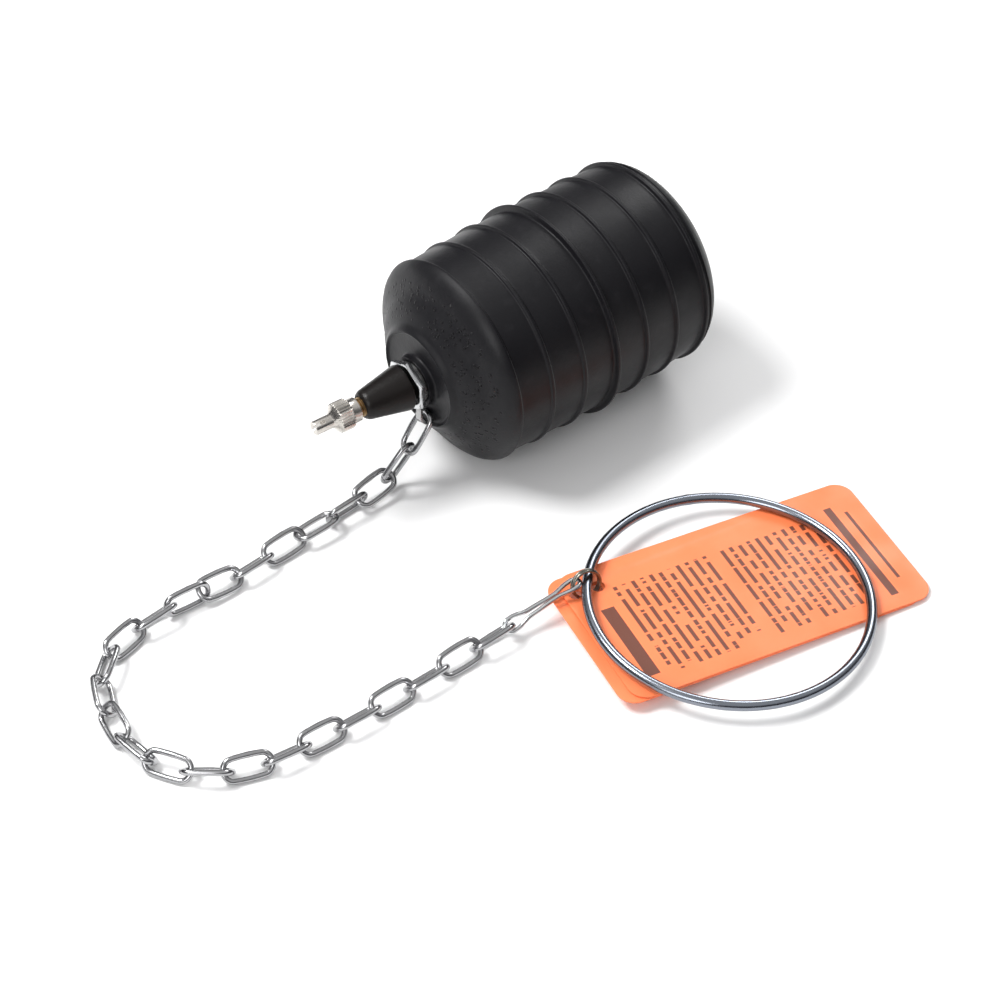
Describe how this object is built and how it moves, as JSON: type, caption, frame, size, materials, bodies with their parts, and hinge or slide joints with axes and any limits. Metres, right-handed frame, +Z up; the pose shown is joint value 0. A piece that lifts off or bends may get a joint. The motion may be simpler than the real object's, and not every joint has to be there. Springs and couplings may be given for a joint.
{
  "type": "inflatable pipe plug",
  "caption": "Ribbed rubber pipe plug lying on its side, with a capped air valve and a chain that leads to a pull ring and two plain tags.",
  "frame": {"origin": "middle of the underside of the whole layout, as the plug, chain, ring and tags lie on the floor", "axes": "+X along the plug's axis, out of its closed end; +Z up"},
  "size_m": [0.2964, 0.2332, 0.0886],
  "materials": {
    "rubber_body": "satin black moulded rubber",
    "stem_tube": "machined brass, threaded end",
    "stem_cover": "satin black rubber",
    "valve_core": "machined brass",
    "stem_nut": "bright zinc plating",
    "chain_bracket": "bright zinc-plated strip",
    "valve_cap": "bright nickel plating",
    "cap_washer": "matt black rubber",
    "valve_pin": "turned brass",
    "link_01": "bright zinc-plated wire",
    "link_02": "bright zinc-plated wire",
    "link_03": "bright zinc-plated wire",
    "link_04": "bright zinc-plated wire",
    "link_05": "bright zinc-plated wire",
    "link_06": "bright zinc-plated wire",
    "link_07": "bright zinc-plated wire",
    "link_08": "bright zinc-plated wire",
    "link_09": "bright zinc-plated wire",
    "link_10": "bright zinc-plated wire",
    "link_11": "bright zinc-plated wire",
    "link_12": "bright zinc-plated wire",
    "link_13": "bright zinc-plated wire",
    "link_14": "bright zinc-plated wire",
    "link_15": "bright zinc-plated wire",
    "link_16": "bright zinc-plated wire",
    "link_17": "bright zinc-plated wire",
    "link_18": "bright zinc-plated wire",
    "link_19": "bright zinc-plated wire",
    "link_20": "bright zinc-plated wire",
    "link_21": "bright zinc-plated wire",
    "link_22": "bright zinc-plated wire",
    "link_23": "bright zinc-plated wire",
    "link_24": "bright zinc-plated wire",
    "link_25": "bright zinc-plated wire",
    "connector": "bright zinc-plated wire",
    "split_ring": "dull nickel-plated spring wire",
    "pull_ring": "bright steel wire, slightly blue",
    "tag_upper": "orange plastic sheet",
    "tag_lower": "orange plastic sheet"
  },
  "bodies": {
    "plug": {"rubber_body": "rubber_body", "stem_tube": "stem_tube", "stem_cover": "stem_cover", "valve_core": "valve_core", "stem_nut": "stem_nut", "chain_bracket": "chain_bracket"},
    "valve_cap": {"valve_cap": "valve_cap", "cap_washer": "cap_washer"},
    "valve_pin": {"valve_pin": "valve_pin"},
    "link_01": {"link_01": "link_01"},
    "link_02": {"link_02": "link_02"},
    "link_03": {"link_03": "link_03"},
    "link_04": {"link_04": "link_04"},
    "link_05": {"link_05": "link_05"},
    "link_06": {"link_06": "link_06"},
    "link_07": {"link_07": "link_07"},
    "link_08": {"link_08": "link_08"},
    "link_09": {"link_09": "link_09"},
    "link_10": {"link_10": "link_10"},
    "link_11": {"link_11": "link_11"},
    "link_12": {"link_12": "link_12"},
    "link_13": {"link_13": "link_13"},
    "link_14": {"link_14": "link_14"},
    "link_15": {"link_15": "link_15"},
    "link_16": {"link_16": "link_16"},
    "link_17": {"link_17": "link_17"},
    "link_18": {"link_18": "link_18"},
    "link_19": {"link_19": "link_19"},
    "link_20": {"link_20": "link_20"},
    "link_21": {"link_21": "link_21"},
    "link_22": {"link_22": "link_22"},
    "link_23": {"link_23": "link_23"},
    "link_24": {"link_24": "link_24"},
    "link_25": {"link_25": "link_25"},
    "connector": {"connector": "connector"},
    "split_ring": {"split_ring": "split_ring"},
    "pull_ring": {"pull_ring": "pull_ring"},
    "tag_upper": {"tag_upper": "tag_upper"},
    "tag_lower": {"tag_lower": "tag_lower"}
  },
  "joints": [
    {"name": "cap_unscrew", "type": "slide", "parent": "plug", "child": "valve_cap", "axis": [-0.9976, 0.0698, 0], "range_m": [0, 0.03]},
    {"name": "valve_press", "type": "slide", "parent": "plug", "child": "valve_pin", "axis": [0.9976, -0.0698, 0], "range_m": [0, 0.001], "stiffness_N_per_m": 300, "springref_m": -0.001},
    {"name": "link_01_swing", "type": "hinge", "parent": "plug", "child": "link_01", "pos_m": [0.02405, 0.06665, 0.02996], "axis": [0, 0, 1], "range_deg": [-12, 12]},
    {"name": "link_02_swing", "type": "hinge", "parent": "link_01", "child": "link_02", "pos_m": [0.01521, 0.06726, 0.01817], "axis": [0, 0, -1], "range_deg": [-12, 12]},
    {"name": "link_03_swing", "type": "hinge", "parent": "link_02", "child": "link_03", "pos_m": [0.00621, 0.06834, 0.00688], "axis": [0, 0, 1], "range_deg": [-12, 12]},
    {"name": "link_04_swing", "type": "hinge", "parent": "link_03", "child": "link_04", "pos_m": [-0.00791, 0.06704, 0.00577], "axis": [0, 0, -1], "range_deg": [-12, 12]},
    {"name": "link_05_swing", "type": "hinge", "parent": "link_04", "child": "link_05", "pos_m": [-0.02236, 0.06624, 0.00522], "axis": [0, 0, 1], "range_deg": [-12, 12]},
    {"name": "link_06_swing", "type": "hinge", "parent": "link_05", "child": "link_06", "pos_m": [-0.0374, 0.06584, 0.00468], "axis": [0, 0, -1], "range_deg": [-12, 12]},
    {"name": "link_07_swing", "type": "hinge", "parent": "link_06", "child": "link_07", "pos_m": [-0.05274, 0.06531, 0.0042], "axis": [0, 0, 1], "range_deg": [-12, 12]},
    {"name": "link_08_swing", "type": "hinge", "parent": "link_07", "child": "link_08", "pos_m": [-0.06808, 0.06448, 0.0041], "axis": [0, 0, -1], "range_deg": [-12, 12]},
    {"name": "link_09_swing", "type": "hinge", "parent": "link_08", "child": "link_09", "pos_m": [-0.08227, 0.06507, 0.00501], "axis": [0, 0, 1], "range_deg": [-12, 12]},
    {"name": "link_10_swing", "type": "hinge", "parent": "link_09", "child": "link_10", "pos_m": [-0.09649, 0.06584, 0.00553], "axis": [0, 0, -1], "range_deg": [-12, 12]},
    {"name": "link_11_swing", "type": "hinge", "parent": "link_10", "child": "link_11", "pos_m": [-0.11089, 0.06561, 0.00427], "axis": [0, 0, 1], "range_deg": [-12, 12]},
    {"name": "link_12_swing", "type": "hinge", "parent": "link_11", "child": "link_12", "pos_m": [-0.12495, 0.06209, 0.00416], "axis": [0, 0, -1], "range_deg": [-12, 12]},
    {"name": "link_13_swing", "type": "hinge", "parent": "link_12", "child": "link_13", "pos_m": [-0.13579, 0.05253, 0.00416], "axis": [0, 0, 1], "range_deg": [-12, 12]},
    {"name": "link_14_swing", "type": "hinge", "parent": "link_13", "child": "link_14", "pos_m": [-0.14185, 0.03939, 0.00416], "axis": [0, 0, -1], "range_deg": [-12, 12]},
    {"name": "link_15_swing", "type": "hinge", "parent": "link_14", "child": "link_15", "pos_m": [-0.1444, 0.02514, 0.00416], "axis": [0, 0, 1], "range_deg": [-12, 12]},
    {"name": "link_16_swing", "type": "hinge", "parent": "link_15", "child": "link_16", "pos_m": [-0.14281, 0.01077, 0.00416], "axis": [0, 0, -1], "range_deg": [-12, 12]},
    {"name": "link_17_swing", "type": "hinge", "parent": "link_16", "child": "link_17", "pos_m": [-0.13559, -0.00175, 0.00416], "axis": [0, 0, 1], "range_deg": [-12, 12]},
    {"name": "link_18_swing", "type": "hinge", "parent": "link_17", "child": "link_18", "pos_m": [-0.12446, -0.01102, 0.00416], "axis": [0, 0, -1], "range_deg": [-12, 12]},
    {"name": "link_19_swing", "type": "hinge", "parent": "link_18", "child": "link_19", "pos_m": [-0.11097, -0.01624, 0.00416], "axis": [0, 0, 1], "range_deg": [-12, 12]},
    {"name": "link_20_swing", "type": "hinge", "parent": "link_19", "child": "link_20", "pos_m": [-0.09663, -0.01808, 0.00416], "axis": [0, 0, -1], "range_deg": [-12, 12]},
    {"name": "link_21_swing", "type": "hinge", "parent": "link_20", "child": "link_21", "pos_m": [-0.08198, -0.01928, 0.00415], "axis": [0, 0, 1], "range_deg": [-12, 12]},
    {"name": "link_22_swing", "type": "hinge", "parent": "link_21", "child": "link_22", "pos_m": [-0.06681, -0.01988, 0.0041], "axis": [0, 0, -1], "range_deg": [-12, 12]},
    {"name": "link_23_swing", "type": "hinge", "parent": "link_22", "child": "link_23", "pos_m": [-0.05143, -0.02007, 0.00403], "axis": [0, 0, 1], "range_deg": [-12, 12]},
    {"name": "link_24_swing", "type": "hinge", "parent": "link_23", "child": "link_24", "pos_m": [-0.03606, -0.02015, 0.00417], "axis": [0, 0, -1], "range_deg": [-12, 12]},
    {"name": "link_25_swing", "type": "hinge", "parent": "link_24", "child": "link_25", "pos_m": [-0.02099, -0.02036, 0.00477], "axis": [0, 0, 1], "range_deg": [-12, 12]},
    {"name": "connector_swing", "type": "hinge", "parent": "link_25", "child": "connector", "pos_m": [-0.00622, -0.02068, 0.00579], "axis": [0, 0, -1], "range_deg": [-10, 10]},
    {"name": "split_ring_swing", "type": "hinge", "parent": "connector", "child": "split_ring", "pos_m": [0.02543, -0.02281, 0.01099], "axis": [0, 0, 1], "range_deg": [-4, 4]},
    {"name": "pull_ring_swing", "type": "hinge", "parent": "split_ring", "child": "pull_ring", "pos_m": [0.02808, -0.02456, 0.00988], "axis": [0.0429, -0.024, 0.9988], "range_deg": [-7, 7]},
    {"name": "tag_upper_swing", "type": "hinge", "parent": "split_ring", "child": "tag_upper", "pos_m": [0.02749, -0.0251, 0.00553], "axis": [0.032, -0.018, 0.9993], "range_deg": [-6, 6]},
    {"name": "tag_lower_swing", "type": "hinge", "parent": "split_ring", "child": "tag_lower", "pos_m": [0.02749, -0.0251, 0.00553], "axis": [0.032, -0.018, 0.9993], "range_deg": [-6, 6]}
  ]
}
